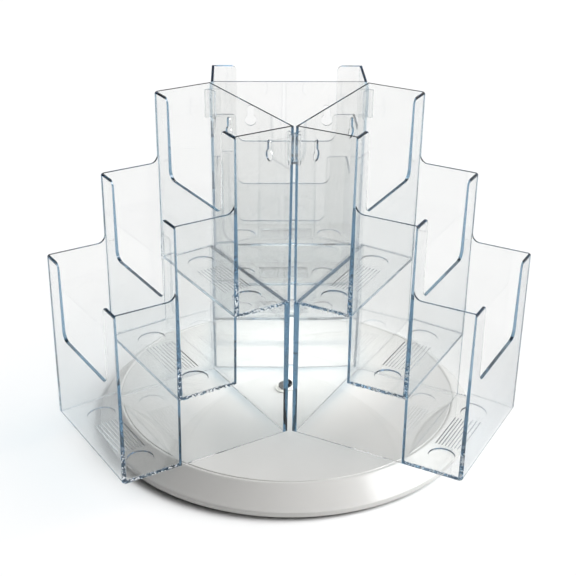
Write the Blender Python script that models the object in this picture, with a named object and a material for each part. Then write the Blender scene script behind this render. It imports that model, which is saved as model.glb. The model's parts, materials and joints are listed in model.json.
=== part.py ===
"""Revolving three-sided leaflet holder: three clear stepped holders on a round turntable.

Metres, +Z up. The origin is the centre of the base plate's underside, on the turning axis,
so the resting surface is z = 0. One corner of the triangle of holders points along -Y.
"""
import math

import bmesh
import bpy
from mathutils import Vector

# Clear holder: one moulding with three pockets, stepped down towards the front.
HOLDER_WIDTH = 0.114          # outside width at the top
HOLDER_WIDTH_BOTTOM = 0.1094  # narrower at the bottom, so the moulding leaves its tool
HOLDER_HEIGHT = 0.237
WALL = 0.0019                 # side walls and floors
BACK_WALL = 0.0014            # back panel above the upper floor
BACK_FOOT_TOP = 0.0040        # back panel just under the upper floor
BACK_FOOT_BOTTOM = 0.0030     # back panel at the bottom
FRONT_TOP = 0.0014            # front panels at their top edges
FRONT_FLOOR = 0.0038          # front panels at their pocket floors
TIERS = 3
TIER_RISE = 0.053
TIER_DEPTH = 0.0447
POCKET_HEIGHT = HOLDER_HEIGHT - (TIERS - 1) * TIER_RISE
STEP_FILLET = 0.006           # hollow corner where a step meets the panel above it
NOSE_RADIUS = 0.002           # top front corner of each step
TOE_RADIUS = 0.003            # bottom front corner
WINDOW_STRIP = 0.0185         # front panel left standing at each side of the thumb window
WINDOW_DEPTH = 0.060
WINDOW_RADIUS = 0.007
WINDOW_LIP_RADIUS = 0.005
KEYHOLE_SPREAD = 0.055
KEYHOLE_RADIUS = 0.0043
KEYHOLE_SLOT = 0.0046
KEYHOLE_DROP = 0.029          # from the top edge to the centre of the round hole
KEYHOLE_RISE = 0.009          # from that centre to the centre of the slot's round end

# Triangle of holders on the turntable.
SIDES = 3
AXIS_TO_BACK = 0.0337         # from the turning axis to a holder's back face
GAP = 0.0003                  # between pieces that rest on each other

# Turntable, from the resting surface upwards.
FOOT_HEIGHT = 0.0019
FOOT_RADIUS = 0.007
FOOT_CIRCLE = 0.100
FOOT_COUNT = 6
FOOT_CHAMFER = 0.0004
PLATE_RADIUS = 0.118
PLATE_THICK = 0.0025
PLATE_RIM = 0.0020
BOSS_RADIUS = 0.014
BOSS_TOP = 0.0080
TOP_Z = 0.021                 # top face of the disc
TOP_THICK = 0.003
TOP_RADIUS = 0.1305           # where the flat top ends and the sloping rim starts
RIM_RADIUS = 0.146
RIM_BOTTOM = 0.0030
RIM_LIP = 0.0045              # height of the upright lip under the slope
RIM_WALL = 0.0024             # thickness of the rim, open underneath
RIM_SLOPE_INSET = 0.00576     # from the rim's outside to the underside of its slope
RIM_EDGE = 0.0012             # softening of the rim's edges
SHOULDER_DROP = 0.00072       # drop of the softened edge between the top and the slope
HUB_RADIUS = 0.014
HUB_BOTTOM = 0.0088

# Ball bearing between the base plate and the disc.
RACE_RADIUS = 0.052
RACE_HALF = 0.008
RACE_THICK = 0.0025
BALL_RADIUS = 0.003
BALL_COUNT = 12
BALL_RUNNING_GAP = 0.0001
GROOVE_RADIUS = 0.0032
GROOVE_SINK = 0.0011          # depth of the ball groove in each race
CAGE_HALF = 0.0055
CAGE_THICK = 0.0016

# Pivot at the centre.
BOLT_RADIUS = 0.0025
BOLT_BOTTOM = 0.0030
BOLT_HEAD_FLATS = 0.008
BOLT_HEAD_HEIGHT = 0.0032
BOLT_CHAMFER = 0.0008
BOLT_HEAD_OVERLAP = 0.001     # shank sunk into the head, so that the two join
WASHER_RADIUS = 0.0070
WASHER_THICK = 0.0012
BUSH_WALL = 0.0028
BUSH_RUNNING_GAP = 0.00008
INSERT_WALL = 0.0024

# Corner clip that ties two neighbouring holders together near the top.
CLIP_HEIGHT = 0.021
CLIP_DROP = 0.005
CLIP_THICK = 0.0012
CLIP_INNER_LEG = 0.008
CLIP_OUTER_LEG = 0.0046

ROUND_STEPS = 72
SMALL_STEPS = 32
ARC_STEPS = 5

PLATE_BOTTOM = FOOT_HEIGHT + GAP
PLATE_TOP = PLATE_BOTTOM + PLATE_THICK
RACE_BOTTOM = PLATE_TOP + GAP
BALL_Z = RACE_BOTTOM + RACE_THICK - GROOVE_SINK + BALL_RUNNING_GAP + BALL_RADIUS
UPPER_RACE_BOTTOM = 2 * BALL_Z - (RACE_BOTTOM + RACE_THICK)
UPPER_RACE_TOP = UPPER_RACE_BOTTOM + RACE_THICK
HOLDER_Z = TOP_Z + GAP


def clear_scene():
    for item in list(bpy.data.objects):
        bpy.data.objects.remove(item, do_unlink=True)


def material(name, colour, roughness, metallic=0.0, transmission=0.0):
    made = bpy.data.materials.new(name)
    made.use_nodes = True
    shader = made.node_tree.nodes["Principled BSDF"]
    shader.inputs["Base Color"].default_value = (*colour, 1.0)
    shader.inputs["Roughness"].default_value = roughness
    shader.inputs["Metallic"].default_value = metallic
    shader.inputs["Transmission Weight"].default_value = transmission
    return made


def place(name, mesh, look, location=(0, 0, 0), turn=0.0, parent=None, smooth=False):
    item = bpy.data.objects.new(name, mesh)
    bpy.context.collection.objects.link(item)
    item.location = location
    item.rotation_euler = (0, 0, turn)
    item.parent = parent
    if not mesh.materials:
        mesh.materials.append(look)
    if smooth:
        mesh.shade_smooth()
        mesh.set_sharp_from_angle(angle=math.radians(35))
    return item


def empty(name, parent=None):
    item = bpy.data.objects.new(name, None)
    bpy.context.collection.objects.link(item)
    item.parent = parent
    return item


def to_mesh(name, bm):
    bmesh.ops.recalc_face_normals(bm, faces=bm.faces)
    mesh = bpy.data.meshes.new(name)
    bm.to_mesh(mesh)
    bm.free()
    return mesh


def arc(centre, radius, start, end, steps=ARC_STEPS):
    """Points from start to end, in degrees, round a centre."""
    points = []
    for step in range(steps + 1):
        angle = math.radians(start + (end - start) * step / steps)
        points.append((centre[0] + radius * math.cos(angle), centre[1] + radius * math.sin(angle)))
    return points


def turned(name, profile, steps=ROUND_STEPS):
    """Solid of revolution about Z from a closed outline of (radius, height) points."""
    bm = bmesh.new()
    verts = [bm.verts.new((radius, 0, height)) for radius, height in profile]
    count = len(verts)
    for index in range(count):
        pair = (verts[index], verts[(index + 1) % count])
        if pair[0].co.x > 1e-7 or pair[1].co.x > 1e-7:
            bm.edges.new(pair)
    geometry = list(bm.verts) + list(bm.edges)
    bmesh.ops.spin(bm, geom=geometry, cent=(0, 0, 0), axis=(0, 0, 1), angle=math.tau, steps=steps,
                   use_merge=True)
    bmesh.ops.remove_doubles(bm, verts=bm.verts, dist=1e-6)
    return to_mesh(name, bm)


def prism(name, outline, start, end, axis):
    """Straight solid: an outline swept along X, Y or Z from start to end.

    The outline's two numbers are Y and Z for a sweep along X, X and Z along Y, X and Y along Z.
    """
    bm = bmesh.new()
    corners = {
        "X": lambda a, b: (start, a, b),
        "Y": lambda a, b: (a, start, b),
        "Z": lambda a, b: (a, b, start),
    }[axis]
    face = bm.faces.new([bm.verts.new(corners(a, b)) for a, b in outline])
    swept = bmesh.ops.extrude_face_region(bm, geom=[face])
    moved = [item for item in swept["geom"] if isinstance(item, bmesh.types.BMVert)]
    offset = Vector((0, 0, 0))
    offset["XYZ".index(axis)] = end - start
    bmesh.ops.translate(bm, verts=moved, vec=offset)
    return to_mesh(name, bm)


def combined(name, mesh, cutters, operation="DIFFERENCE"):
    """A mesh after Boolean steps with other meshes, which are used up."""
    body = bpy.data.objects.new(name + "_body", mesh)
    bpy.context.collection.objects.link(body)
    tools = []
    for cutter in cutters:
        tool = bpy.data.objects.new(name + "_tool", cutter)
        bpy.context.collection.objects.link(tool)
        step = body.modifiers.new("step", "BOOLEAN")
        step.operation = operation
        step.solver = "EXACT"
        step.object = tool
        tools.append(tool)
    graph = bpy.context.evaluated_depsgraph_get()
    result = bpy.data.meshes.new_from_object(body.evaluated_get(graph))
    for item in [body] + tools:
        bpy.data.objects.remove(item, do_unlink=True)
    result.name = name
    return result


def tier_front(tier):
    """Outer face of a tier's front panel, measured from the turning axis; tier 0 is the tallest."""
    return AXIS_TO_BACK + (tier + 1) * TIER_DEPTH


def tier_floor(tier):
    return (TIERS - 1 - tier) * TIER_RISE


def tier_top(tier):
    return tier_floor(tier) + POCKET_HEIGHT


def holder_side_outline():
    """Stepped side view of a holder: distance from the axis and height."""
    front = tier_front(TIERS - 1)
    outline = [(AXIS_TO_BACK, 0)]
    outline += arc((front - TOE_RADIUS, TOE_RADIUS), TOE_RADIUS, -90, 0)
    for tier in reversed(range(TIERS)):
        front = tier_front(tier)
        top = tier_top(tier)
        outline += arc((front - NOSE_RADIUS, top - NOSE_RADIUS), NOSE_RADIUS, 0, 90)
        if tier > 0:
            inner = tier_front(tier - 1)
            outline += arc((inner + STEP_FILLET, top + STEP_FILLET), STEP_FILLET, 270, 180)
    outline.append((AXIS_TO_BACK, HOLDER_HEIGHT))
    return outline


def window_outline(top):
    """Thumb window in a front panel, open at the top, seen from the front."""
    half = HOLDER_WIDTH / 2 - WINDOW_STRIP
    bottom = top - WINDOW_DEPTH
    over = top + STEP_FILLET
    lip = half + WINDOW_LIP_RADIUS
    right = [(lip, over)]
    right += arc((lip, top - WINDOW_LIP_RADIUS), WINDOW_LIP_RADIUS, 90, 180)
    right += arc((half - WINDOW_RADIUS, bottom + WINDOW_RADIUS), WINDOW_RADIUS, 0, -90)
    left = [(-across, height) for across, height in reversed(right)]
    return right + left


def keyhole_outline(across):
    """Round hole with a narrow slot above it, in the back panel."""
    centre = HOLDER_HEIGHT - KEYHOLE_DROP
    half_slot = KEYHOLE_SLOT / 2
    open_angle = math.degrees(math.acos(half_slot / KEYHOLE_RADIUS))
    outline = arc((across, centre), KEYHOLE_RADIUS, 180 - open_angle, 360 + open_angle, 18)
    outline += arc((across, centre + KEYHOLE_RISE), half_slot, 0, 180, 8)
    return outline


def holder_mesh():
    half = HOLDER_WIDTH / 2
    inner = half - WALL
    over = HOLDER_HEIGHT + STEP_FILLET
    body = prism("holder", holder_side_outline(), -half, half, "X")
    cutters = []
    for tier in range(TIERS):
        front = tier_front(tier)
        back = AXIS_TO_BACK + BACK_WALL if tier == 0 else tier_front(tier - 1)
        floor = tier_floor(tier) + WALL
        pocket = [
            (back, floor),
            (front - FRONT_FLOOR, floor),
            (front - FRONT_TOP, tier_top(tier)),
            (front - FRONT_TOP, over),
            (back, over),
        ]
        cutters.append(prism("pocket", pocket, -inner, inner, "X"))
        window = window_outline(tier_top(tier))
        cutters.append(prism("window", window, front - 2 * WALL, front + WALL, "Y"))
    step_back = tier_front(0) - WALL
    step_front = tier_front(1) - WALL
    hollow = [
        (AXIS_TO_BACK + BACK_FOOT_BOTTOM, -WALL),
        (step_front, -WALL),
        (step_front, tier_floor(1)),
        (step_back, tier_floor(1)),
        (step_back, tier_floor(0)),
        (AXIS_TO_BACK + BACK_FOOT_TOP, tier_floor(0)),
    ]
    cutters.append(prism("hollow", hollow, -inner, inner, "X"))
    for side in (-1, 1):
        keyhole = keyhole_outline(side * KEYHOLE_SPREAD / 2)
        cutters.append(prism("keyhole", keyhole, AXIS_TO_BACK - WALL, AXIS_TO_BACK + 2 * WALL, "Y"))
    mesh = combined("leaflet_holder", body, cutters)
    taper = 1 - HOLDER_WIDTH_BOTTOM / HOLDER_WIDTH
    for vertex in mesh.vertices:
        vertex.co.x *= 1 - taper * (1 - vertex.co.z / HOLDER_HEIGHT)
    return mesh


def clip_mesh():
    """Clip with two pairs of legs that meet in the gap between two holders.

    Drawn for the corner on -Y. The inner legs lie on the back panels, the outer ones on the
    side walls.
    """
    lean = math.pi / SIDES
    across = Vector((math.cos(lean), math.sin(lean)))
    out = Vector((math.sin(lean), -math.cos(lean)))
    corner = out * AXIS_TO_BACK - across * (HOLDER_WIDTH / 2)
    notch = corner - across * GAP - out * GAP
    leg_end = notch + out * CLIP_OUTER_LEG
    leg_underside = leg_end - across * CLIP_THICK
    far_end = notch + across * CLIP_INNER_LEG
    far_inside = far_end - out * CLIP_THICK
    nose = leg_underside - out * (leg_underside.x / out.x)
    crotch = far_inside - across * (far_inside.x / across.x)
    right = [nose, leg_underside, leg_end, notch, far_end, far_inside, crotch]
    left = [Vector((-point.x, point.y)) for point in reversed(right[1:-1])]
    return prism("corner_clip", right + left, 0, CLIP_HEIGHT, "Z")


def groove(z_edge, face_side):
    """Ball groove across a race's face; face_side is 1 for a race below the balls, -1 above."""
    reach = math.degrees(math.asin((GROOVE_RADIUS - GROOVE_SINK) / GROOVE_RADIUS))
    centre_z = z_edge + face_side * (GROOVE_RADIUS - GROOVE_SINK)
    return arc((RACE_RADIUS, centre_z), GROOVE_RADIUS, -face_side * reach, -face_side * (180 - reach), 6)


def race_mesh(name, bottom, face_side):
    top = bottom + RACE_THICK
    inner = RACE_RADIUS - RACE_HALF
    outer = RACE_RADIUS + RACE_HALF
    if face_side > 0:
        profile = [(inner, bottom), (outer, bottom), (outer, top)] + groove(top, 1) + [(inner, top)]
    else:
        profile = [(inner, top), (outer, top), (outer, bottom)] + groove(bottom, -1) + [(inner, bottom)]
    return turned(name, profile)


def cage_mesh():
    inner = RACE_RADIUS - CAGE_HALF
    outer = RACE_RADIUS + CAGE_HALF
    low = BALL_Z - CAGE_THICK / 2
    high = BALL_Z + CAGE_THICK / 2
    ring = turned("ball_cage", [(inner, low), (outer, low), (outer, high), (inner, high)])
    pockets = []
    for index in range(BALL_COUNT):
        angle = math.tau * index / BALL_COUNT
        centre = (RACE_RADIUS * math.cos(angle), RACE_RADIUS * math.sin(angle))
        outline = arc(centre, BALL_RADIUS + GAP, 4, 349, 23)
        pockets.append(prism("pocket", outline, low - GAP, high + GAP, "Z"))
    return combined("ball_cage", ring, pockets)


def ball_mesh():
    bm = bmesh.new()
    bmesh.ops.create_icosphere(bm, subdivisions=2, radius=BALL_RADIUS)
    return to_mesh("bearing_ball", bm)


def base_plate_mesh():
    """Flat plate with a solid centre boss that reaches the resting surface and holds the pivot."""
    insert_outer = BOLT_RADIUS + GAP + INSERT_WALL + GAP
    pocket_floor = BOLT_BOTTOM - GAP
    profile = [
        (0, 0),
        (BOSS_RADIUS - PLATE_RIM / 2, 0),
        (BOSS_RADIUS, PLATE_RIM / 2),
        (BOSS_RADIUS, PLATE_BOTTOM),
        (PLATE_RADIUS, PLATE_BOTTOM),
        (PLATE_RADIUS, PLATE_TOP + PLATE_RIM),
        (PLATE_RADIUS - PLATE_RIM, PLATE_TOP + PLATE_RIM),
        (PLATE_RADIUS - PLATE_RIM, PLATE_TOP),
        (BOSS_RADIUS, PLATE_TOP),
        (BOSS_RADIUS, BOSS_TOP),
        (insert_outer, BOSS_TOP),
        (insert_outer, pocket_floor),
        (0, pocket_floor),
    ]
    return turned("base_plate", profile)


def disc_mesh():
    """Turntable disc: flat top, sloping rim with an upright lip, bearing land and centre hub."""
    land_inner = RACE_RADIUS - RACE_HALF
    land_outer = RACE_RADIUS + RACE_HALF
    under = TOP_Z - TOP_THICK
    land_z = UPPER_RACE_TOP + GAP
    bore = BOLT_RADIUS + BUSH_RUNNING_GAP + BUSH_WALL + GAP
    rim_inside = RIM_RADIUS - RIM_WALL
    lip_top = RIM_BOTTOM + RIM_LIP
    profile = [(bore, TOP_Z)]
    profile += [(bore, HUB_BOTTOM), (HUB_RADIUS, HUB_BOTTOM), (HUB_RADIUS, under)]
    profile += [(land_inner, under), (land_inner, land_z), (land_outer, land_z), (land_outer, under)]
    profile += [(TOP_RADIUS - RIM_WALL, under), (RIM_RADIUS - RIM_SLOPE_INSET, lip_top)]
    profile += [(rim_inside, RIM_BOTTOM + RIM_EDGE), (rim_inside, RIM_BOTTOM)]
    profile += [(RIM_RADIUS - RIM_EDGE / 2, RIM_BOTTOM), (RIM_RADIUS, RIM_BOTTOM + RIM_EDGE / 2)]
    profile += [(RIM_RADIUS, lip_top - RIM_EDGE), (RIM_RADIUS - RIM_EDGE, lip_top)]
    profile += [(TOP_RADIUS + RIM_EDGE, TOP_Z - SHOULDER_DROP), (TOP_RADIUS, TOP_Z)]
    return turned("turntable_disc", profile)


def foot_mesh():
    profile = [
        (0, 0),
        (FOOT_RADIUS - FOOT_CHAMFER, 0),
        (FOOT_RADIUS, FOOT_CHAMFER),
        (FOOT_RADIUS, FOOT_HEIGHT),
        (0, FOOT_HEIGHT),
    ]
    return turned("foot", profile, SMALL_STEPS)


def tube_mesh(name, inner, outer, low, high):
    return turned(name, [(inner, low), (outer, low), (outer, high), (inner, high)], SMALL_STEPS)


def bolt_mesh():
    """Pivot bolt: plain shank with a six-sided head, chamfered on top."""
    head_bottom = HOLDER_Z + WASHER_THICK + GAP
    corner = BOLT_HEAD_FLATS / math.sqrt(3)
    head_top = head_bottom + BOLT_HEAD_HEIGHT
    shank_top = head_bottom + BOLT_HEAD_OVERLAP
    bm = bmesh.new()
    rings = []
    for radius, height in (
        (corner, head_bottom),
        (corner, head_top - BOLT_CHAMFER),
        (corner - BOLT_CHAMFER, head_top),
    ):
        corners = [math.tau * index / 6 for index in range(6)]
        rings.append([bm.verts.new((radius * math.cos(a), radius * math.sin(a), height)) for a in corners])
    for lower, upper in zip(rings, rings[1:]):
        for index in range(6):
            after = (index + 1) % 6
            bm.faces.new((lower[index], lower[after], upper[after], upper[index]))
    bm.faces.new(list(reversed(rings[0])))
    bm.faces.new(rings[-1])
    head = to_mesh("head", bm)
    shank_profile = [
        (0, BOLT_BOTTOM),
        (BOLT_RADIUS - BOLT_CHAMFER, BOLT_BOTTOM),
        (BOLT_RADIUS, BOLT_BOTTOM + BOLT_CHAMFER),
        (BOLT_RADIUS, shank_top),
        (0, shank_top),
    ]
    shank = turned("shank", shank_profile, SMALL_STEPS)
    return combined("pivot_bolt", shank, [head], "UNION")


def build():
    clear_scene()
    clear_plastic = material("clear_plastic", (0.86, 0.91, 0.95), 0.04, transmission=1.0)
    white_plastic = material("white_plastic", (0.80, 0.80, 0.78), 0.32)
    grey_plastic = material("grey_plastic", (0.55, 0.55, 0.54), 0.5)
    black_rubber = material("black_rubber", (0.02, 0.02, 0.02), 0.8)
    steel = material("steel", (0.62, 0.62, 0.63), 0.3, metallic=1.0)
    black_steel = material("black_steel", (0.02, 0.02, 0.022), 0.35, metallic=0.6)
    brass = material("brass", (0.72, 0.55, 0.25), 0.3, metallic=1.0)
    nylon = material("nylon", (0.88, 0.87, 0.82), 0.45)

    place("base_plate", base_plate_mesh(), white_plastic, smooth=True)
    foot = foot_mesh()
    for index in range(FOOT_COUNT):
        angle = math.tau * index / FOOT_COUNT
        spot = (FOOT_CIRCLE * math.cos(angle), FOOT_CIRCLE * math.sin(angle), 0)
        place(f"rubber_foot_{index + 1}", foot, black_rubber, spot, smooth=True)
    place("lower_race", race_mesh("lower_race", RACE_BOTTOM, 1), steel, smooth=True)
    insert_inner = BOLT_RADIUS + GAP
    insert = tube_mesh("threaded_insert", insert_inner, insert_inner + INSERT_WALL, BOLT_BOTTOM, BOSS_TOP)
    place("threaded_insert", insert, brass, smooth=True)
    place("pivot_bolt", bolt_mesh(), black_steel, smooth=True)
    washer = tube_mesh("pivot_washer", BOLT_RADIUS + GAP, WASHER_RADIUS, HOLDER_Z, HOLDER_Z + WASHER_THICK)
    place("pivot_washer", washer, nylon, smooth=True)

    cage_axis = empty("cage_axis")
    place("ball_cage", cage_mesh(), nylon, parent=cage_axis, smooth=True)
    ball = ball_mesh()
    for index in range(BALL_COUNT):
        angle = math.tau * index / BALL_COUNT
        spot = (RACE_RADIUS * math.cos(angle), RACE_RADIUS * math.sin(angle), BALL_Z)
        place(f"bearing_ball_{index + 1}", ball, steel, spot, parent=cage_axis, smooth=True)

    turning_axis = empty("turning_axis")
    place("turntable_disc", disc_mesh(), white_plastic, parent=turning_axis, smooth=True)
    upper_race = race_mesh("upper_race", UPPER_RACE_BOTTOM, -1)
    place("upper_race", upper_race, steel, parent=turning_axis, smooth=True)
    bush_inner = BOLT_RADIUS + BUSH_RUNNING_GAP
    bush = tube_mesh("pivot_bush", bush_inner, bush_inner + BUSH_WALL, HUB_BOTTOM, TOP_Z)
    place("pivot_bush", bush, nylon, parent=turning_axis, smooth=True)
    holder = holder_mesh()
    clip = clip_mesh()
    clip_z = HOLDER_Z + HOLDER_HEIGHT - CLIP_DROP - CLIP_HEIGHT
    for index, (side, corner) in enumerate((("rear", "front"), ("left", "right"), ("right", "left"))):
        turn = math.tau * index / SIDES
        place(f"leaflet_holder_{side}", holder, clear_plastic, (0, 0, HOLDER_Z), turn, turning_axis)
        place(f"corner_clip_{corner}", clip, grey_plastic, (0, 0, clip_z), turn, turning_axis)


build()
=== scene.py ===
"""Looks of a revolving three-sided leaflet holder: clear moulded holders on a white turntable."""
import json
import math

import bmesh
import bpy
from mathutils import Matrix, Vector


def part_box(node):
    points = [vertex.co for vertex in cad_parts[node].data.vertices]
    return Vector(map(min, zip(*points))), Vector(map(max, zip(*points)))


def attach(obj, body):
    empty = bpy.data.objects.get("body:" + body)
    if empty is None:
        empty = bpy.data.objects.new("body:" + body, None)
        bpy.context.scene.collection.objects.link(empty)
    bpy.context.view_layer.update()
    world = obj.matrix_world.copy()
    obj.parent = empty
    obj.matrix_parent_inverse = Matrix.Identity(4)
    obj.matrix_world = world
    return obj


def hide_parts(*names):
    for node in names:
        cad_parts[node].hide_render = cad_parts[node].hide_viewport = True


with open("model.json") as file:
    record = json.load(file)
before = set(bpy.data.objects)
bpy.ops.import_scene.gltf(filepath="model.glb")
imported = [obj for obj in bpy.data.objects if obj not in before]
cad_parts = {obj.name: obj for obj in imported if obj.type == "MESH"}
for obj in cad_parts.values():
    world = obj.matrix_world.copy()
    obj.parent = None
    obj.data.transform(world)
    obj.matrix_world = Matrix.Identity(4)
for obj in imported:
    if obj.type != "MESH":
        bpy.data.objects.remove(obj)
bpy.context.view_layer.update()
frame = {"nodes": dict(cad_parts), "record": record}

# ---------------------------------------------------------------- sizes, in metres
rear_low, rear_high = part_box("leaflet_holder_rear")
disc_low, disc_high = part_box("turntable_disc")
washer_low, washer_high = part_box("pivot_washer")
bolt_low, bolt_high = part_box("pivot_bolt")
clip_low, clip_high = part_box("corner_clip_front")

SIDES = 3
TIERS = 3
AXIS_TO_BACK = rear_low.y
HOLDER_Z = rear_low.z
HOLDER_WIDTH = rear_high.x - rear_low.x
HOLDER_WIDTH_BOTTOM = 0.1094
HOLDER_HEIGHT = rear_high.z - rear_low.z
TIER_DEPTH = (rear_high.y - rear_low.y) / TIERS
TIER_RISE = 0.053
POCKET_HEIGHT = HOLDER_HEIGHT - (TIERS - 1) * TIER_RISE
WALL = 0.0019
BACK_WALL = 0.0014
BACK_FOOT_TOP = 0.0040
BACK_FOOT_BOTTOM = 0.0030
FRONT_TOP = 0.0014
FRONT_FLOOR = 0.0038
STEP_FILLET = 0.006
NOSE_RADIUS = 0.002
TOE_RADIUS = 0.003
WINDOW_STRIP = 0.0185
WINDOW_DEPTH = 0.060
WINDOW_RADIUS = 0.007
WINDOW_LIP_RADIUS = 0.005
KEYHOLE_SPREAD = 0.055
KEYHOLE_RADIUS = 0.0043
KEYHOLE_SLOT = 0.0046
KEYHOLE_DROP = 0.029
KEYHOLE_RISE = 0.009
EDGE_ROUND = 0.00015

# Marks on each pocket floor: two shallow round dimples with a patch of fine ribs between them.
DIMPLE_OFFSET = 0.034
DIMPLE_RADIUS = 0.0098
DIMPLE_DRAFT = 0.0004
DIMPLE_DEPTH = 0.0010
RIB_COUNT = 9
RIB_PITCH = 0.0024
RIB_HALF_LENGTH = 0.020
RIB_WIDTH = 0.0010
RIB_HEIGHT = 0.0003
SINK = 0.0004

# Turntable disc.
TOP_Z = disc_high.z
RIM_RADIUS = disc_high.x
RIM_BOTTOM = disc_low.z
TOP_RADIUS = 0.1305
TOP_THICK = 0.003
SKIRT = 0.0024
SHOULDER_RADIUS = 0.0022
RIM_LIP = 0.0045
LIP_ROUND = 0.0012
FOOT_ROUND = 0.0008
BORE_CHAMFER = 0.0004
GROOVE_INSET = 0.0018
GROOVE_WIDTH = 0.0014
GROOVE_DEPTH = 0.0008
GAP = 0.0003
BORE_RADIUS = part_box("pivot_bush")[1].x + GAP
HUB_RADIUS = 0.014
HUB_BOTTOM = 0.0088
LAND_INNER = 0.044
LAND_OUTER = 0.060
LAND_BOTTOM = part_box("upper_race")[1].z + GAP

# Pivot and clips.
BOLT_RADIUS = 0.0025
BOLT_HEAD_FLATS = 0.008
BOLT_GRIP = 0.0005
BOLT_TOP_SHARE = 0.95
BOLT_CONE_OVERRUN = 0.001
SMALL_ROUND = 0.0003
CLIP_THICK = 0.0012
CLIP_INNER_LEG = 0.008
CLIP_OUTER_LEG = 0.0046
CLIP_ROUND = 0.0002

# Camera.
CAMERA_TURN = math.radians(2.49)
CAMERA_BACK = 0.8438
CAMERA_UP = 0.4996 + HOLDER_Z
CAMERA_YAW = -0.0027
CAMERA_PITCH = 0.4564
CAMERA_ROLL = 0.0142
CAMERA_LENS = 77.58
CAMERA_SHIFT = (0.0051, 0.0022)

# Clear plastic's surface: long waves with a little fine ripple, and beads where panels join the side walls,
# with painted shade and painted glints on the beads and painted shade on cut edges.
PLASTIC_IOR = 1.57
WAVE_SCALE = 22
WAVE_STRENGTH = 0.10
WAVE_DEPTH = 0.0006
RIPPLE_SCALE = 330
RIPPLE_SHARE = 0.02
HAZE_SCALE = 120
HAZE_MOST = 0.03
BEAD_RISE = 0.032
BEAD_SCALE = 550
BEAD_DEPTH = 0.0020
# Clearness left at the pale bead specks, which are painted glints.
BEAD_GLINT_CLEARNESS = 0.35
# How far from the middle the painted shade on cut edges reaches.
CUT_INNER = 0.045
CUT_OUTER = 0.048

# Light and floor.
FLOOR_HALF = 40
SUN_STRENGTH = 4.3
SUN_SPREAD = 46
SUN_FROM = (0.78, 0.02, 0.62)
DOME_LEFT = 0.02
DOME_RIGHT = 0.36
DOME_RANGE = (-0.4, 0.95)
SCREEN_HEIGHT = 0.49
SCREEN_CORE = 0.09
SCREEN_EDGE = 0.14
SCREEN_GAIN = 0.9
SCREEN_RANGE = (0.5, 0.7)
SOFTBOX_HEIGHT = 0.70
SOFTBOX_CORE = 0.05
SOFTBOX_EDGE = 0.09
SOFTBOX_GAIN = 4.5
SOFTBOX_LEFT_EDGE = (1.88, 1, 0)
SOFTBOX_LEFT_FADE = (-0.01, 0.03)
SOFTBOX_RIGHT_EDGE = (-0.36, -1, 0)
SOFTBOX_RIGHT_FADE = (-0.05, 0.10)
CORE_LAMP_HEIGHT = 1.2
CORE_LAMP_POWER = 105.0
CORE_LAMP_RADIUS = 0.12
CORE_LAMP_SOFTNESS = 0.05
CORE_LAMP_Y = 0.065


# ---------------------------------------------------------------- mesh helpers
def to_mesh(name, bm):
    bmesh.ops.recalc_face_normals(bm, faces=bm.faces)
    mesh = bpy.data.meshes.new(name)
    bm.to_mesh(mesh)
    bm.free()
    return mesh


def arc(centre, radius, start, end, steps=10):
    """Points from start to end, in degrees, round a centre."""
    points = []
    for step in range(steps + 1):
        angle = math.radians(start + (end - start) * step / steps)
        points.append((centre[0] + radius * math.cos(angle), centre[1] + radius * math.sin(angle)))
    return points


def turned(name, profile, steps):
    """Solid of revolution about Z from a closed outline of (radius, height) points."""
    bm = bmesh.new()
    verts = [bm.verts.new((radius, 0, height)) for radius, height in profile]
    for index, vertex in enumerate(verts):
        bm.edges.new((vertex, verts[(index + 1) % len(verts)]))
    geometry = list(bm.verts) + list(bm.edges)
    bmesh.ops.spin(bm, geom=geometry, cent=(0, 0, 0), axis=(0, 0, 1), angle=math.tau, steps=steps,
                   use_merge=True)
    bmesh.ops.remove_doubles(bm, verts=bm.verts, dist=1e-6)
    return to_mesh(name, bm)


def add_prism(bm, outline, start, end, axis):
    """Sweeps an outline along X, Y or Z; its numbers are the two other axes, in XYZ order."""
    corners = {
        "X": lambda a, b: (start, a, b),
        "Y": lambda a, b: (a, start, b),
        "Z": lambda a, b: (a, b, start),
    }[axis]
    face = bm.faces.new([bm.verts.new(corners(a, b)) for a, b in outline])
    swept = bmesh.ops.extrude_face_region(bm, geom=[face])
    moved = [item for item in swept["geom"] if isinstance(item, bmesh.types.BMVert)]
    offset = Vector((0, 0, 0))
    offset["XYZ".index(axis)] = end - start
    bmesh.ops.translate(bm, verts=moved, vec=offset)


def prism(name, outline, start, end, axis):
    bm = bmesh.new()
    add_prism(bm, outline, start, end, axis)
    return to_mesh(name, bm)


def evaluated(name, mesh, add_modifiers):
    """A mesh after modifiers that add_modifiers puts on a passing object."""
    body = bpy.data.objects.new(name + "_body", mesh)
    bpy.context.collection.objects.link(body)
    extra = add_modifiers(body) or []
    graph = bpy.context.evaluated_depsgraph_get()
    result = bpy.data.meshes.new_from_object(body.evaluated_get(graph))
    for item in [body] + extra:
        bpy.data.objects.remove(item, do_unlink=True)
    result.name = name
    return result


def combined(name, mesh, tools, operation="DIFFERENCE"):
    def steps(body):
        objects = []
        for tool_mesh in tools:
            tool = bpy.data.objects.new(name + "_tool", tool_mesh)
            bpy.context.collection.objects.link(tool)
            step = body.modifiers.new("step", "BOOLEAN")
            step.operation = operation
            step.solver = "EXACT"
            step.object = tool
            objects.append(tool)
        return objects

    return evaluated(name, mesh, steps)


def rounded(name, mesh, width, segments=2, angle=35):
    def steps(body):
        bevel = body.modifiers.new("round", "BEVEL")
        bevel.width = width
        bevel.segments = segments
        bevel.limit_method = "ANGLE"
        bevel.angle_limit = math.radians(angle)
        return []

    return evaluated(name, mesh, steps)


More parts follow.
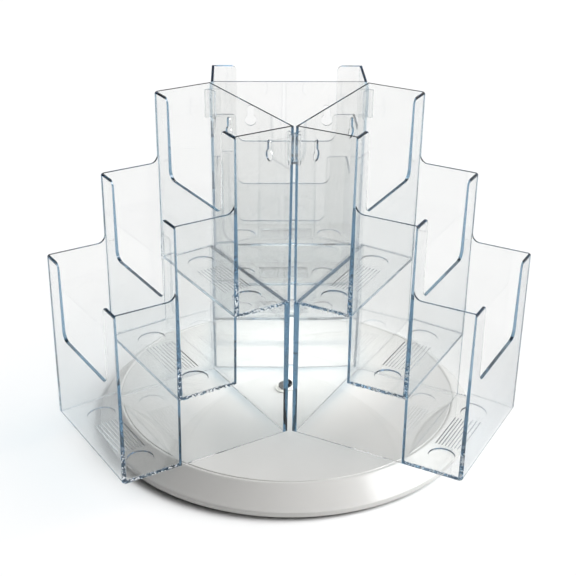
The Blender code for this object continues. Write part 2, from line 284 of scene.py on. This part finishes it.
def piece(name, mesh, look, body, node, turn=0.0, smooth_angle=None):
    """A finished piece in place of a CAD node, riding on that node's body."""
    item = bpy.data.objects.new(name, mesh)
    bpy.context.collection.objects.link(item)
    item.rotation_euler = (0, 0, turn)
    mesh.materials.clear()
    mesh.materials.append(look)
    if smooth_angle is not None:
        mesh.shade_smooth()
        mesh.set_sharp_from_angle(angle=math.radians(smooth_angle))
    bpy.context.view_layer.update()
    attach(item, body)
    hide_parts(node)
    return item


# ---------------------------------------------------------------- material helpers
def new_material(name):
    made = bpy.data.materials.new(name)
    made.use_nodes = True
    tree = made.node_tree
    return made, tree, tree.nodes["Principled BSDF"]


def noise(tree, scale, detail=3.0, roughness=0.5, stretch=(1, 1, 1)):
    """Noise over object space, in features per metre."""
    place = tree.nodes.new("ShaderNodeTexCoord")
    mapping = tree.nodes.new("ShaderNodeMapping")
    mapping.inputs["Scale"].default_value = stretch
    texture = tree.nodes.new("ShaderNodeTexNoise")
    texture.inputs["Scale"].default_value = scale
    texture.inputs["Detail"].default_value = detail
    texture.inputs["Roughness"].default_value = roughness
    tree.links.new(place.outputs["Object"], mapping.inputs["Vector"])
    tree.links.new(mapping.outputs["Vector"], texture.inputs["Vector"])
    return texture.outputs["Fac"]


def ranged(tree, value, low, high, start=0.3, end=0.7):
    """Maps start to end of a value onto low to high; as it stands, the middle of a noise value."""
    spread = tree.nodes.new("ShaderNodeMapRange")
    spread.inputs["From Min"].default_value = start
    spread.inputs["From Max"].default_value = end
    spread.inputs["To Min"].default_value = low
    spread.inputs["To Max"].default_value = high
    tree.links.new(value, spread.inputs["Value"])
    return spread.outputs["Result"]


def ramp(tree, value, stops):
    band = tree.nodes.new("ShaderNodeValToRGB")
    elements = band.color_ramp.elements
    elements[0].position, elements[0].color = stops[0][0], (*stops[0][1], 1)
    elements[1].position, elements[1].color = stops[-1][0], (*stops[-1][1], 1)
    for position, colour in stops[1:-1]:
        elements.new(position).color = (*colour, 1)
    tree.links.new(value, band.inputs["Fac"])
    return band.outputs["Color"]


def bump(tree, shader, value, strength, distance):
    """Bump on a shader's surface, over the one that it already has."""
    node = tree.nodes.new("ShaderNodeBump")
    node.inputs["Strength"].default_value = strength
    node.inputs["Distance"].default_value = distance
    tree.links.new(value, node.inputs["Height"])
    for link in shader.inputs["Normal"].links:
        tree.links.new(link.from_socket, node.inputs["Normal"])
    tree.links.new(node.outputs["Normal"], shader.inputs["Normal"])
    return node


def joined(tree, operation, first, second):
    """A Math node on a value and either another value or a plain number."""
    node = tree.nodes.new("ShaderNodeMath")
    node.operation = operation
    tree.links.new(first, node.inputs[0])
    if isinstance(second, float):
        node.inputs[1].default_value = second
    else:
        tree.links.new(second, node.inputs[1])
    return node.outputs["Value"]


def rounded_down(tree, value):
    node = tree.nodes.new("ShaderNodeMath")
    node.operation = "FLOOR"
    tree.links.new(value, node.inputs[0])
    return node.outputs["Value"]


def is_number(tree, value, number):
    node = tree.nodes.new("ShaderNodeMath")
    node.operation = "COMPARE"
    tree.links.new(value, node.inputs[0])
    node.inputs[1].default_value = number
    node.inputs[2].default_value = 0.1
    return node.outputs["Value"]


def object_axes(tree, output):
    """A point's or normal's numbers in object space, with X as a distance from the middle."""
    place = tree.nodes.new("ShaderNodeTexCoord")
    parts = tree.nodes.new("ShaderNodeSeparateXYZ")
    tree.links.new(place.outputs[output], parts.inputs["Vector"])
    across = tree.nodes.new("ShaderNodeMath")
    across.operation = "ABSOLUTE"
    tree.links.new(parts.outputs["X"], across.inputs[0])
    return across.outputs["Value"], parts.outputs["Y"], parts.outputs["Z"]


def facing_sideways(tree):
    """1 on faces that look along X, 0 on the others."""
    return ranged(tree, object_axes(tree, "Normal")[0], 0.0, 1.0, 0.4, 0.6)


def cut_edge_shade_mask(tree):
    """Where painted shade goes: 1 on the sides of windows, keyholes and floor dimples, 0 on the outer walls.
    """
    across = object_axes(tree, "Object")[0]
    inside = ranged(tree, across, 1.0, 0.0, CUT_INNER, CUT_OUTER)
    return joined(tree, "MULTIPLY", inside, facing_sideways(tree))


def beaded_edges(tree):
    """1 on the side walls at the foot of each front panel and along each pocket floor, 0 elsewhere."""
    out, height = object_axes(tree, "Object")[1:]
    out = joined(tree, "SUBTRACT", out, AXIS_TO_BACK)
    height = joined(tree, "SUBTRACT", height, HOLDER_Z)
    past_front = joined(tree, "MODULO", out, TIER_DEPTH)
    above_floor = joined(tree, "MODULO", height, TIER_RISE)
    panel_inside = TIER_DEPTH - FRONT_FLOOR
    panel_middle = TIER_DEPTH - FRONT_FLOOR / 2
    at_front = ranged(tree, past_front, 0.0, 1.0, panel_inside, panel_middle)
    low = ranged(tree, above_floor, 1.0, 0.0, BEAD_RISE * 0.7, BEAD_RISE)
    at_front = joined(tree, "MULTIPLY", at_front, low)
    at_floor = ranged(tree, above_floor, 1.0, 0.0, WALL, 1.5 * WALL)
    column = rounded_down(tree, joined(tree, "DIVIDE", out, TIER_DEPTH))
    row = rounded_down(tree, joined(tree, "DIVIDE", height, TIER_RISE))
    own_floor = is_number(tree, joined(tree, "ADD", column, row), TIERS - 1)
    places = joined(tree, "MAXIMUM", at_front, at_floor)
    places = joined(tree, "MULTIPLY", places, own_floor)
    return joined(tree, "MULTIPLY", places, facing_sideways(tree))


def let_light_through(tree, shader, lamp_tint):
    """Lamp light and diffuse bounces pass straight through, which keeps clear walls free of blotches."""
    clear = tree.nodes.new("ShaderNodeBsdfTransparent")
    clear.inputs["Color"].default_value = (*lamp_tint, 1)
    path = tree.nodes.new("ShaderNodeLightPath")
    soft = joined(tree, "MAXIMUM", path.outputs["Is Shadow Ray"], path.outputs["Is Diffuse Ray"])
    mix = tree.nodes.new("ShaderNodeMixShader")
    tree.links.new(soft, mix.inputs["Fac"])
    tree.links.new(shader.outputs["BSDF"], mix.inputs[1])
    tree.links.new(clear.outputs["BSDF"], mix.inputs[2])
    tree.links.new(mix.outputs["Shader"], tree.nodes["Material Output"].inputs["Surface"])


def clear_plastic_material(name, tint, cut_edge_painted_shade, lamp_tint, absorb, density):
    """Clear moulded plastic: nearly colourless through a wall, blue along it, beaded at some joins, with
    painted shade on its cut edges and painted shade and painted glints on the beads.
    """
    made, tree, shader = new_material(name)
    beaded = beaded_edges(tree)
    grains = noise(tree, BEAD_SCALE, 1.0)
    # Painted shade and painted glints on the beads: dark specks darken the colour, and pale specks lose
    # clearness and show as white glints.
    bead_painted_shade = joined(tree, "MULTIPLY", beaded, ranged(tree, grains, 1.0, 0.0, 0.40, 0.47))
    bead_painted_glints = joined(tree, "MULTIPLY", beaded, ranged(tree, grains, 0.0, 1.0, 0.53, 0.60))
    # Painted shade: cut edges and the dark bead specks take a darker colour that stands in for the dark
    # reflections and shade along clear edges.
    painted_shade_amount = joined(tree, "MAXIMUM", cut_edge_shade_mask(tree), bead_painted_shade)
    colour = ramp(tree, painted_shade_amount, [(0.0, tint), (1.0, cut_edge_painted_shade)])
    tree.links.new(colour, shader.inputs["Base Color"])
    glint_clearness = ranged(tree, bead_painted_glints, 1.0, BEAD_GLINT_CLEARNESS, 0.0, 1.0)
    tree.links.new(glint_clearness, shader.inputs["Transmission Weight"])
    shader.inputs["IOR"].default_value = PLASTIC_IOR
    haze = ranged(tree, noise(tree, HAZE_SCALE, 4), 0.0, HAZE_MOST, 0.45, 0.75)
    tree.links.new(haze, shader.inputs["Roughness"])
    waves = noise(tree, WAVE_SCALE, 1.5)
    ripples = joined(tree, "MULTIPLY", noise(tree, RIPPLE_SCALE, 1.0), RIPPLE_SHARE)
    bump(tree, shader, joined(tree, "ADD", waves, ripples), WAVE_STRENGTH, WAVE_DEPTH)
    beads = bump(tree, shader, grains, 1.0, BEAD_DEPTH)
    tree.links.new(beaded, beads.inputs["Strength"])
    let_light_through(tree, shader, lamp_tint)
    volume = tree.nodes.new("ShaderNodeVolumeAbsorption")
    volume.inputs["Color"].default_value = (*absorb, 1)
    volume.inputs["Density"].default_value = density
    tree.links.new(volume.outputs["Volume"], tree.nodes["Material Output"].inputs["Volume"])
    return made


def moulded_material(name, light, dark, rough_low, rough_high, grain, grain_depth):
    """Opaque moulded plastic or rubber: faint mottling, uneven gloss and a fine grain."""
    made, tree, shader = new_material(name)
    colour = ramp(tree, noise(tree, 18, 5, 0.6), [(0.35, dark), (0.65, light)])
    tree.links.new(colour, shader.inputs["Base Color"])
    gloss = ranged(tree, noise(tree, 45, 4), rough_low, rough_high)
    tree.links.new(gloss, shader.inputs["Roughness"])
    bump(tree, shader, noise(tree, grain, 2), 0.25, grain_depth)
    return made


def metal_material(name, light, dark, rough_low, rough_high, metallic, stretch):
    """Metal with fine uneven shade and gloss, drawn out along an axis by stretch."""
    made, tree, shader = new_material(name)
    colour = ramp(tree, noise(tree, 260, 4, 0.6, stretch), [(0.3, dark), (0.7, light)])
    tree.links.new(colour, shader.inputs["Base Color"])
    shader.inputs["Metallic"].default_value = metallic
    gloss = ranged(tree, noise(tree, 400, 3, 0.5, stretch), rough_low, rough_high)
    tree.links.new(gloss, shader.inputs["Roughness"])
    bump(tree, shader, noise(tree, 1500, 2, 0.5, stretch), 0.2, 0.00002)
    return made


# ---------------------------------------------------------------- holders
def tier_front(tier):
    """Outside of a pocket's front panel; tier 0 is the back one, which stands highest."""
    return AXIS_TO_BACK + (tier + 1) * TIER_DEPTH


def tier_back(tier):
    return AXIS_TO_BACK + BACK_WALL if tier == 0 else tier_front(tier - 1)


def tier_floor(tier):
    return (TIERS - 1 - tier) * TIER_RISE


def tier_top(tier):
    return tier_floor(tier) + POCKET_HEIGHT


def side_outline():
    """Stepped outline of a holder seen from its side, as (Y, Z) points."""
    front = tier_front(TIERS - 1)
    outline = [(AXIS_TO_BACK, 0)]
    outline += arc((front - TOE_RADIUS, TOE_RADIUS), TOE_RADIUS, -90, 0, 6)
    for tier in reversed(range(TIERS)):
        front = tier_front(tier)
        top = tier_top(tier)
        outline += arc((front - NOSE_RADIUS, top - NOSE_RADIUS), NOSE_RADIUS, 0, 90, 6)
        if tier > 0:
            inner = tier_front(tier - 1)
            outline += arc((inner + STEP_FILLET, top + STEP_FILLET), STEP_FILLET, 270, 180)
    outline.append((AXIS_TO_BACK, HOLDER_HEIGHT))
    return outline


def window_outline(top):
    """Thumb window in a front panel: round corners at its bottom and rounded lips at its top."""
    half = HOLDER_WIDTH / 2 - WINDOW_STRIP
    bottom = top - WINDOW_DEPTH
    over = top + STEP_FILLET
    lip = half + WINDOW_LIP_RADIUS
    right = [(lip, over)]
    right += arc((lip, top - WINDOW_LIP_RADIUS), WINDOW_LIP_RADIUS, 90, 180, 6)
    right += arc((half - WINDOW_RADIUS, bottom + WINDOW_RADIUS), WINDOW_RADIUS, 0, -90)
    left = [(-across, height) for across, height in reversed(right)]
    return right + left


def keyhole_outline(across):
    """Hanging hole with its slot above."""
    centre = HOLDER_HEIGHT - KEYHOLE_DROP
    half_slot = KEYHOLE_SLOT / 2
    open_angle = math.degrees(math.acos(half_slot / KEYHOLE_RADIUS))
    outline = arc((across, centre), KEYHOLE_RADIUS, 180 - open_angle, 360 + open_angle, 28)
    outline += arc((across, centre + KEYHOLE_RISE), half_slot, 0, 180, 12)
    return outline


def width_share(height):
    """The holder narrows towards its bottom by the mould's draft."""
    return 1 - (1 - HOLDER_WIDTH_BOTTOM / HOLDER_WIDTH) * (1 - height / HOLDER_HEIGHT)


def floor_middle(tier):
    """Middle of a pocket floor, from back to front."""
    return (tier_back(tier) + tier_front(tier) - FRONT_FLOOR) / 2


def dimple(tier, side):
    """Cutter for a shallow round dimple in a pocket floor."""
    level = tier_floor(tier) + WALL
    mesh = turned("dimple", [
        (0, level - DIMPLE_DEPTH),
        (DIMPLE_RADIUS - DIMPLE_DRAFT, level - DIMPLE_DEPTH),
        (DIMPLE_RADIUS, level),
        (DIMPLE_RADIUS, level + SINK),
        (0, level + SINK),
    ], 56)
    mesh.transform(Matrix.Translation((side * DIMPLE_OFFSET, floor_middle(tier), 0)))
    return mesh


def floor_ribs():
    """Ribs that stand on the pocket floors, sunk a little so that they join them."""
    bm = bmesh.new()
    for tier in range(TIERS):
        level = tier_floor(tier) + WALL
        for index in range(RIB_COUNT):
            middle = floor_middle(tier) + (index - (RIB_COUNT - 1) / 2) * RIB_PITCH
            half = RIB_WIDTH / 2
            outline = [
                (middle - half, level - SINK),
                (middle + half, level - SINK),
                (middle + half, level),
                (middle, level + RIB_HEIGHT),
                (middle - half, level),
            ]
            add_prism(bm, outline, -RIB_HALF_LENGTH, RIB_HALF_LENGTH, "X")
    return to_mesh("floor_ribs", bm)


def holder_mesh():
    """Stepped block, cut to its pockets, windows, hollow and keyholes, then drafted and rounded."""
    half = HOLDER_WIDTH / 2
    inner = half - WALL
    over = HOLDER_HEIGHT + STEP_FILLET
    body = prism("holder", side_outline(), -half, half, "X")
    cutters = []
    for tier in range(TIERS):
        front = tier_front(tier)
        floor = tier_floor(tier) + WALL
        back = tier_back(tier)
        pocket = [
            (back, floor),
            (front - FRONT_FLOOR, floor),
            (front - FRONT_TOP, tier_top(tier)),
            (front - FRONT_TOP, over),
            (back, over),
        ]
        cutters.append(prism("pocket", pocket, -inner, inner, "X"))
        cutters += [dimple(tier, -1), dimple(tier, 1)]
        window = window_outline(tier_top(tier))
        cutters.append(prism("window", window, front - 2 * WALL, front + WALL, "Y"))
    step_back = tier_front(0) - WALL
    step_front = tier_front(1) - WALL
    hollow = [
        (AXIS_TO_BACK + BACK_FOOT_BOTTOM, -WALL),
        (step_front, -WALL),
        (step_front, tier_floor(1)),
        (step_back, tier_floor(1)),
        (step_back, tier_floor(0)),
        (AXIS_TO_BACK + BACK_FOOT_TOP, tier_floor(0)),
    ]
    cutters.append(prism("hollow", hollow, -inner, inner, "X"))
    for side in (-1, 1):
        keyhole = keyhole_outline(side * KEYHOLE_SPREAD / 2)
        cutters.append(prism("keyhole", keyhole, AXIS_TO_BACK - WALL, AXIS_TO_BACK + 2 * WALL, "Y"))
    mesh = combined("leaflet_holder", body, cutters)
    for vertex in mesh.vertices:
        vertex.co.x *= width_share(vertex.co.z)
    mesh = rounded("leaflet_holder", mesh, EDGE_ROUND)
    mesh = combined("leaflet_holder", mesh, [floor_ribs()], "UNION")
    mesh.transform(Matrix.Translation((0, 0, HOLDER_Z)))
    return mesh


def clip_mesh():
    """Clip with two pairs of legs that meet between two holders, at the -Y corner."""
    lean = math.pi / SIDES
    across = Vector((math.cos(lean), math.sin(lean)))
    out = Vector((math.sin(lean), -math.cos(lean)))
    corner = out * AXIS_TO_BACK - across * (HOLDER_WIDTH / 2)
    notch = corner - across * GAP - out * GAP
    leg_end = notch + out * CLIP_OUTER_LEG
    leg_underside = leg_end - across * CLIP_THICK
    far_end = notch + across * CLIP_INNER_LEG
    far_inside = far_end - out * CLIP_THICK
    nose = leg_underside - out * (leg_underside.x / out.x)
    crotch = far_inside - across * (far_inside.x / across.x)
    right = [nose, leg_underside, leg_end, notch, far_end, far_inside, crotch]
    left = [Vector((-point.x, point.y)) for point in reversed(right[1:-1])]
    mesh = prism("corner_clip", right + left, clip_low.z, clip_high.z, "Z")
    return rounded("corner_clip", mesh, CLIP_ROUND)


# ---------------------------------------------------------------- turntable
def disc_mesh():
    """Flat top, rounded shoulder, sloping rim, soft lip, bearing land and hub."""
    under = TOP_Z - TOP_THICK
    lip_top = RIM_BOTTOM + RIM_LIP
    profile = [(BORE_RADIUS + BORE_CHAMFER, TOP_Z), (BORE_RADIUS, TOP_Z - BORE_CHAMFER)]
    profile += [(BORE_RADIUS, HUB_BOTTOM), (HUB_RADIUS, HUB_BOTTOM), (HUB_RADIUS, under)]
    profile += [(LAND_INNER, under), (LAND_INNER, LAND_BOTTOM), (LAND_OUTER, LAND_BOTTOM)]
    profile += [(LAND_OUTER, under), (TOP_RADIUS - SKIRT, under)]
    profile += [(RIM_RADIUS - 2.4 * SKIRT, lip_top)]
    profile += [(RIM_RADIUS - SKIRT, RIM_BOTTOM + LIP_ROUND), (RIM_RADIUS - SKIRT, RIM_BOTTOM)]
    profile += arc((RIM_RADIUS - FOOT_ROUND, RIM_BOTTOM + FOOT_ROUND), FOOT_ROUND, -90, 0, 4)
    profile += arc((RIM_RADIUS - LIP_ROUND, lip_top - LIP_ROUND), LIP_ROUND, 0, 70, 6)
    profile += [(TOP_RADIUS + SHOULDER_RADIUS * 0.8, TOP_Z - SHOULDER_RADIUS * 0.5)]
    shoulder = (TOP_RADIUS - SHOULDER_RADIUS * 0.3, TOP_Z - SHOULDER_RADIUS)
    profile += arc(shoulder, SHOULDER_RADIUS, 50, 90, 5)
    groove = TOP_RADIUS - GROOVE_INSET
    profile += [
        (groove + GROOVE_WIDTH / 2, TOP_Z),
        (groove, TOP_Z - GROOVE_DEPTH),
        (groove - GROOVE_WIDTH / 2, TOP_Z),
    ]
    return turned("turntable_disc", profile, 288)


def washer_mesh():
    inner = BOLT_RADIUS + GAP
    outer = washer_high.x
    edge = SMALL_ROUND
    low, high = washer_low.z, washer_high.z
    profile = [
        (inner, low),
        (outer - edge, low),
        (outer, low + edge),
        (outer, high - edge),
        (outer - edge, high),
        (inner + edge, high),
        (inner, high - edge),
    ]
    return turned("pivot_washer", profile, 96)


def bolt_mesh():
    """Pivot bolt: plain shank and a six-sided head with the usual turned chamfer."""
    head_bottom = washer_high.z + GAP
    corner = BOLT_HEAD_FLATS / math.sqrt(3)
    outline = []
    for index in range(6):
        angle = math.tau * index / 6
        outline.append((corner * math.cos(angle), corner * math.sin(angle)))
    head = prism("head", outline, head_bottom, bolt_high.z, "Z")
    flat = BOLT_HEAD_FLATS / 2 * BOLT_TOP_SHARE
    drop = (corner - flat) * math.tan(math.radians(30))
    cone_bottom = head_bottom - BOLT_CONE_OVERRUN
    cone_radius = corner + BOLT_CONE_OVERRUN
    cone = turned("cone", [
        (0, cone_bottom),
        (cone_radius, cone_bottom),
        (cone_radius, bolt_high.z - drop),
        (corner, bolt_high.z - drop),
        (flat, bolt_high.z),
        (0, bolt_high.z),
    ], 96)
    head = combined("head", head, [cone], "INTERSECT")
    head = rounded("head", head, SMALL_ROUND, 2, 40)
    shank = turned("shank", [
        (0, bolt_low.z),
        (BOLT_RADIUS, bolt_low.z),
        (BOLT_RADIUS, head_bottom + BOLT_GRIP),
        (0, head_bottom + BOLT_GRIP),
    ], 64)
    return combined("pivot_bolt", head, [shank], "UNION")


# ---------------------------------------------------------------- stage
def make_floor():
    """Pale matt floor that runs out of sight on all sides."""
    bm = bmesh.new()
    bmesh.ops.create_grid(bm, x_segments=1, y_segments=1, size=FLOOR_HALF)
    mesh = to_mesh("floor", bm)
    floor = bpy.data.objects.new("floor", mesh)
    bpy.context.collection.objects.link(floor)
    made, tree, shader = new_material("floor")
    colour = ramp(tree, noise(tree, 3, 3), [(0.3, (0.89, 0.89, 0.89)), (0.7, (0.91, 0.91, 0.91))])
    tree.links.new(colour, shader.inputs["Base Color"])
    shader.inputs["Roughness"].default_value = 0.9
    shader.inputs["Specular IOR Level"].default_value = 0.0
    mesh.materials.append(made)


def towards(tree, place, direction):
    """How far a dome direction lies along another one."""
    node = tree.nodes.new("ShaderNodeVectorMath")
    node.operation = "DOT_PRODUCT"
    node.inputs[1].default_value = Vector(direction).normalized()
    tree.links.new(place, node.inputs[0])
    return node.outputs["Value"]


def band(tree, height, middle, core, edge, gain):
    """Light between two heights of the dome, fading out from core to edge."""
    offset = joined(tree, "SUBTRACT", height, middle)
    distance = joined(tree, "MULTIPLY", offset, offset)
    return ranged(tree, distance, gain, 0.0, core * core, edge * edge)


def make_world():
    """Dim studio dome, brighter to the right, with a pale screen behind and a softbox at the front right."""
    world = bpy.data.worlds.new("studio")
    world.use_nodes = True
    bpy.context.scene.world = world
    tree = world.node_tree
    coordinates = tree.nodes.new("ShaderNodeTexCoord")
    place = coordinates.outputs["Generated"]
    parts = tree.nodes.new("ShaderNodeSeparateXYZ")
    tree.links.new(place, parts.inputs["Vector"])
    total = ranged(tree, parts.outputs["X"], DOME_LEFT, DOME_RIGHT, *DOME_RANGE)
    behind = ranged(tree, parts.outputs["Y"], 0.0, 1.0, *SCREEN_RANGE)
    screen = band(tree, parts.outputs["Z"], SCREEN_HEIGHT, SCREEN_CORE, SCREEN_EDGE, SCREEN_GAIN)
    total = joined(tree, "ADD", total, joined(tree, "MULTIPLY", screen, behind))
    left_edge = ranged(tree, towards(tree, place, SOFTBOX_LEFT_EDGE), 0.0, 1.0, *SOFTBOX_LEFT_FADE)
    right_edge = ranged(tree, towards(tree, place, SOFTBOX_RIGHT_EDGE), 0.0, 1.0, *SOFTBOX_RIGHT_FADE)
    softbox = band(tree, parts.outputs["Z"], SOFTBOX_HEIGHT, SOFTBOX_CORE, SOFTBOX_EDGE, SOFTBOX_GAIN)
    softbox = joined(tree, "MULTIPLY", joined(tree, "MULTIPLY", softbox, left_edge), right_edge)
    total = joined(tree, "ADD", total, softbox)
    background = tree.nodes["Background"]
    background.inputs["Color"].default_value = (1, 1, 1, 1)
    tree.links.new(total, background.inputs["Strength"])


def make_sun(name, source, spread, strength):
    """Large far softbox, given by the direction that its light comes from."""
    data = bpy.data.lights.new(name, "SUN")
    data.energy = strength
    data.angle = math.radians(spread)
    lamp = bpy.data.objects.new(name, data)
    bpy.context.collection.objects.link(lamp)
    lamp.rotation_euler = Vector(source).to_track_quat("Z", "Y").to_euler()


def make_core_lamp():
    """Small overhead lamp with a soft-edged pool of light on the middle of the disc."""
    data = bpy.data.lights.new("core_lamp", "SPOT")
    data.energy = CORE_LAMP_POWER
    data.spot_size = 2 * math.atan(CORE_LAMP_RADIUS / CORE_LAMP_HEIGHT)
    data.spot_blend = 1.0
    data.shadow_soft_size = CORE_LAMP_SOFTNESS
    lamp = bpy.data.objects.new("core_lamp", data)
    bpy.context.collection.objects.link(lamp)
    lamp.location = (0, CORE_LAMP_Y, CORE_LAMP_HEIGHT)


def make_camera():
    """Camera in front of the holder, turned a little round it and looking down."""
    data = bpy.data.cameras.new("camera")
    data.lens = CAMERA_LENS
    data.sensor_width = 36
    data.shift_x, data.shift_y = CAMERA_SHIFT
    camera = bpy.data.objects.new("camera", data)
    bpy.context.collection.objects.link(camera)
    turn = Matrix.Rotation(-CAMERA_TURN, 4, "Z")
    aim = Matrix.Rotation(-CAMERA_YAW, 4, "Z") @ Matrix.Rotation(math.pi / 2 - CAMERA_PITCH, 4, "X")
    roll = Matrix.Rotation(CAMERA_ROLL, 4, "Z")
    camera.matrix_world = turn @ Matrix.Translation((0, -CAMERA_BACK, CAMERA_UP)) @ aim @ roll
    bpy.context.scene.camera = camera


# ---------------------------------------------------------------- make everything
# For the clear plastics: a wall's tint, the painted shade on cut edges, lamp light's tint (over 1 where it
# makes up for what the volume takes), the volume's colour and its density.
clear_plastic = clear_plastic_material(
    "clear_plastic", (0.959, 0.951, 0.941), (0.13, 0.24, 0.36), (1.025, 1.017, 1.012), (0.02, 0.35, 0.53), 19)
clip_plastic = clear_plastic_material(
    "clip_plastic", (0.95, 0.95, 0.945), (0.94, 0.94, 0.935), (1.0, 1.0, 1.0), (0.1, 0.35, 0.5), 17)
# For the others: a light and a dark shade, the least and most roughness, then grain or metal values.
white_plastic = moulded_material(
    "white_plastic", (0.60, 0.592, 0.575), (0.58, 0.572, 0.555), 0.14, 0.22, 1400, 0.00002)
base_plastic = moulded_material(
    "base_plastic", (0.62, 0.62, 0.60), (0.56, 0.56, 0.54), 0.45, 0.6, 900, 0.00004)
rubber = moulded_material(
    "rubber", (0.022, 0.022, 0.022), (0.012, 0.012, 0.012), 0.7, 0.9, 1200, 0.00006)
nylon = moulded_material(
    "nylon", (0.80, 0.79, 0.73), (0.74, 0.73, 0.67), 0.4, 0.5, 1000, 0.00003)
steel = metal_material(
    "steel", (0.66, 0.67, 0.68), (0.50, 0.51, 0.53), 0.22, 0.38, 1.0, (1, 1, 1))
black_steel = metal_material(
    "black_steel", (0.020, 0.020, 0.022), (0.008, 0.008, 0.009), 0.3, 0.5, 0.7, (1, 1, 1))
brass = metal_material(
    "brass", (0.78, 0.60, 0.28), (0.66, 0.48, 0.20), 0.2, 0.35, 1.0, (1, 1, 8))

LOOKS = {
    "clear_plastic": clear_plastic,
    "clip_plastic": clip_plastic,
    "white_plastic": white_plastic,
    "base_plastic": base_plastic,
    "black_rubber": rubber,
    "nylon": nylon,
    "steel": steel,
    "black_steel": black_steel,
    "brass": brass,
}
for part in frame["record"]["subparts"]:
    mesh = frame["nodes"][part["node"]].data
    mesh.materials.clear()
    mesh.materials.append(LOOKS[part["material_slot"]])

holder = holder_mesh()
clip = clip_mesh()
for index, (side, corner) in enumerate((("rear", "front"), ("left", "right"), ("right", "left"))):
    turn = math.tau * index / SIDES
    piece(f"holder_{side}", holder, clear_plastic, "turntable",
          f"leaflet_holder_{side}", turn)
    piece(f"clip_{corner}", clip, clip_plastic, "turntable",
          f"corner_clip_{corner}", turn)
piece("disc", disc_mesh(), white_plastic, "turntable", "turntable_disc", 0, 30)
piece("washer", washer_mesh(), nylon, "base", "pivot_washer", 0, 30)
piece("bolt", bolt_mesh(), black_steel, "base", "pivot_bolt", 0, 25)

make_floor()
make_world()
make_sun("softbox_right", SUN_FROM, SUN_SPREAD, SUN_STRENGTH)
make_core_lamp()
make_camera()

# Clear walls need many bounces: with fewer, the paths inside their edges end black.
scene = bpy.context.scene
scene.view_settings.view_transform = "Standard"
scene.cycles.max_bounces = 160
scene.cycles.transmission_bounces = 160
scene.cycles.glossy_bounces = 160
scene.cycles.transparent_max_bounces = 64
scene.cycles.sample_clamp_indirect = 4
